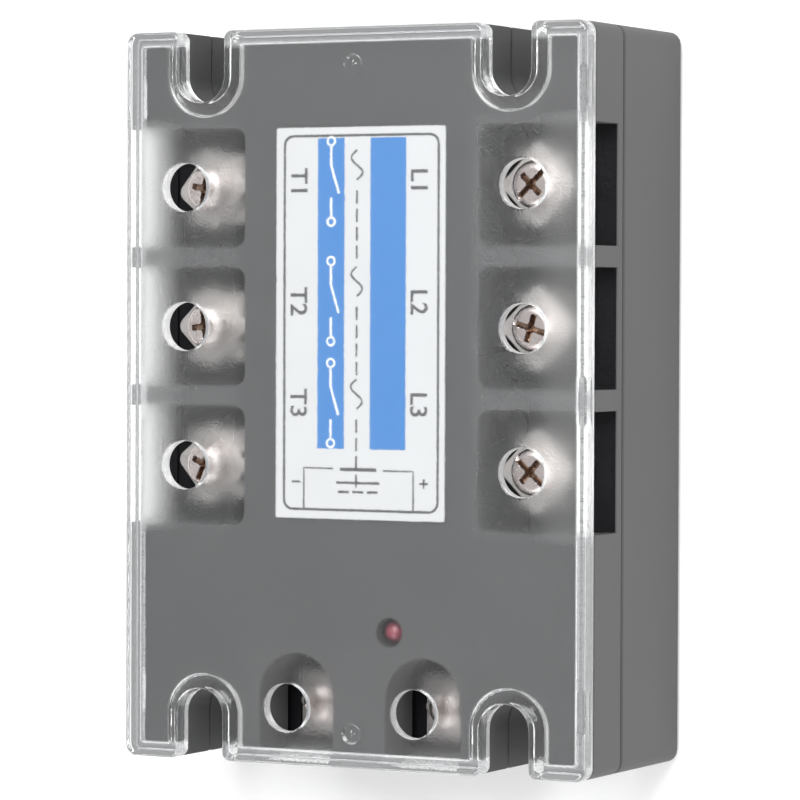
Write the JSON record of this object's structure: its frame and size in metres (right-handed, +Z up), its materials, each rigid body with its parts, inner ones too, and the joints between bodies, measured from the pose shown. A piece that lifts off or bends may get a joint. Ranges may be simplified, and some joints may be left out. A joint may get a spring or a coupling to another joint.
{
  "type": "solid state relay",
  "caption": "Flat grey relay block with clamp screws in side pockets, a clear lift-off cover, a metal base and an open slot at each corner.",
  "frame": {"origin": "centre of the lower face of the metal base, where the relay's bounding box stands", "axes": "+X across the relay towards the line terminals, +Y along it away from the input terminals, +Z up out of the terminal face"},
  "size_m": [0.074, 0.105, 0.032],
  "materials": {
    "base_metal": "brushed, flat and slightly proud of the housing",
    "steel": "zinc-plated fasteners",
    "housing_plastic": "mid grey flame-retardant plastic, fine spark grain",
    "clear_plastic": "clear plastic, glossy outside, finely frosted inside",
    "label": "white printed film with two blue bands",
    "potting": "black epoxy",
    "circuit_board": "green solder resist",
    "component_white": "white moulded body",
    "component_yellow": "yellow moulded body",
    "component_blue": "blue lacquer",
    "ceramic": "white ceramic with metal pads",
    "red_lens": "diffused red lens",
    "nickel": "bright nickel plate"
  },
  "bodies": {
    "housing": {"base_plate": "base_metal", "base_screw_1": "steel", "base_screw_2": "steel", "base_screw_3": "steel", "base_screw_4": "steel", "lower_housing": "housing_plastic", "upper_housing": "housing_plastic", "rating_label": "label", "potting_compound": "potting", "control_board": "circuit_board", "optocoupler_1": "component_white", "optocoupler_2": "component_white", "optocoupler_3": "component_white", "snubber_capacitor_1": "component_yellow", "snubber_capacitor_2": "component_yellow", "snubber_capacitor_3": "component_yellow", "gate_resistor_1": "component_blue", "gate_resistor_2": "component_blue", "gate_resistor_3": "component_blue", "power_module_1": "ceramic", "power_module_2": "ceramic", "power_module_3": "ceramic", "status_led": "red_lens", "power_terminal_l1": "nickel", "power_terminal_l2": "nickel", "power_terminal_l3": "nickel", "power_terminal_t1": "nickel", "power_terminal_t2": "nickel", "power_terminal_t3": "nickel", "power_nut_l1": "nickel", "power_nut_l2": "nickel", "power_nut_l3": "nickel", "power_nut_t1": "nickel", "power_nut_t2": "nickel", "power_nut_t3": "nickel", "input_terminal_minus": "nickel", "input_terminal_plus": "nickel", "input_nut_minus": "nickel", "input_nut_plus": "nickel"},
    "cover": {"clear_cover": "clear_plastic"},
    "power_clamp_l1": {"power_clamp_l1": "nickel"},
    "power_screw_l1": {"power_screw_l1": "nickel"},
    "power_clamp_l2": {"power_clamp_l2": "nickel"},
    "power_screw_l2": {"power_screw_l2": "nickel"},
    "power_clamp_l3": {"power_clamp_l3": "nickel"},
    "power_screw_l3": {"power_screw_l3": "nickel"},
    "power_clamp_t1": {"power_clamp_t1": "nickel"},
    "power_screw_t1": {"power_screw_t1": "nickel"},
    "power_clamp_t2": {"power_clamp_t2": "nickel"},
    "power_screw_t2": {"power_screw_t2": "nickel"},
    "power_clamp_t3": {"power_clamp_t3": "nickel"},
    "power_screw_t3": {"power_screw_t3": "nickel"},
    "input_clamp_minus": {"input_clamp_minus": "nickel"},
    "input_screw_minus": {"input_screw_minus": "nickel"},
    "input_clamp_plus": {"input_clamp_plus": "nickel"},
    "input_screw_plus": {"input_screw_plus": "nickel"}
  },
  "joints": [
    {"name": "cover_lift", "type": "slide", "parent": "housing", "child": "cover", "axis": [0, 0, 1], "range_m": [0, 0.04]},
    {"name": "power_clamp_l1_lift", "type": "slide", "parent": "housing", "child": "power_clamp_l1", "axis": [0, 0, 1], "range_m": [-0.0028, 0]},
    {"name": "power_screw_l1_turn", "type": "hinge", "parent": "power_clamp_l1", "child": "power_screw_l1", "pos_m": [0.027, 0.03, 0.0264], "axis": [0, 0, 1], "range_deg": [-1440, 0]},
    {"name": "power_clamp_l2_lift", "type": "slide", "parent": "housing", "child": "power_clamp_l2", "axis": [0, 0, 1], "range_m": [-0.0028, 0]},
    {"name": "power_screw_l2_turn", "type": "hinge", "parent": "power_clamp_l2", "child": "power_screw_l2", "pos_m": [0.027, 0.01, 0.0264], "axis": [0, 0, 1], "range_deg": [-1440, 0]},
    {"name": "power_clamp_l3_lift", "type": "slide", "parent": "housing", "child": "power_clamp_l3", "axis": [0, 0, 1], "range_m": [-0.0028, 0]},
    {"name": "power_screw_l3_turn", "type": "hinge", "parent": "power_clamp_l3", "child": "power_screw_l3", "pos_m": [0.027, -0.01, 0.0264], "axis": [0, 0, 1], "range_deg": [-1440, 0]},
    {"name": "power_clamp_t1_lift", "type": "slide", "parent": "housing", "child": "power_clamp_t1", "axis": [0, 0, 1], "range_m": [0, 0.0028]},
    {"name": "power_screw_t1_turn", "type": "hinge", "parent": "power_clamp_t1", "child": "power_screw_t1", "pos_m": [-0.027, 0.03, 0.0236], "axis": [0, 0, 1], "range_deg": [0, 1440]},
    {"name": "power_clamp_t2_lift", "type": "slide", "parent": "housing", "child": "power_clamp_t2", "axis": [0, 0, 1], "range_m": [0, 0.0028]},
    {"name": "power_screw_t2_turn", "type": "hinge", "parent": "power_clamp_t2", "child": "power_screw_t2", "pos_m": [-0.027, 0.01, 0.0236], "axis": [0, 0, 1], "range_deg": [0, 1440]},
    {"name": "power_clamp_t3_lift", "type": "slide", "parent": "housing", "child": "power_clamp_t3", "axis": [0, 0, 1], "range_m": [0, 0.0028]},
    {"name": "power_screw_t3_turn", "type": "hinge", "parent": "power_clamp_t3", "child": "power_screw_t3", "pos_m": [-0.027, -0.01, 0.0236], "axis": [0, 0, 1], "range_deg": [0, 1440]},
    {"name": "input_clamp_minus_lift", "type": "slide", "parent": "housing", "child": "input_clamp_minus", "axis": [0, 0, 1], "range_m": [0, 0.002]},
    {"name": "input_screw_minus_turn", "type": "hinge", "parent": "input_clamp_minus", "child": "input_screw_minus", "pos_m": [-0.0102, -0.0443, 0.0203], "axis": [0, 0, 1], "range_deg": [0, 1440]},
    {"name": "input_clamp_plus_lift", "type": "slide", "parent": "housing", "child": "input_clamp_plus", "axis": [0, 0, 1], "range_m": [0, 0.002]},
    {"name": "input_screw_plus_turn", "type": "hinge", "parent": "input_clamp_plus", "child": "input_screw_plus", "pos_m": [0.0102, -0.0443, 0.0203], "axis": [0, 0, 1], "range_deg": [0, 1440]}
  ],
  "couplings": [
    {"joint": "power_screw_l1_turn", "follows": "power_clamp_l1_lift", "rad_per_m": 8975.9},
    {"joint": "power_screw_l2_turn", "follows": "power_clamp_l2_lift", "rad_per_m": 8975.9},
    {"joint": "power_screw_l3_turn", "follows": "power_clamp_l3_lift", "rad_per_m": 8975.9},
    {"joint": "power_screw_t1_turn", "follows": "power_clamp_t1_lift", "rad_per_m": 8975.9},
    {"joint": "power_screw_t2_turn", "follows": "power_clamp_t2_lift", "rad_per_m": 8975.9},
    {"joint": "power_screw_t3_turn", "follows": "power_clamp_t3_lift", "rad_per_m": 8975.9},
    {"joint": "input_screw_minus_turn", "follows": "input_clamp_minus_lift", "rad_per_m": 12566},
    {"joint": "input_screw_plus_turn", "follows": "input_clamp_plus_lift", "rad_per_m": 12566}
  ]
}
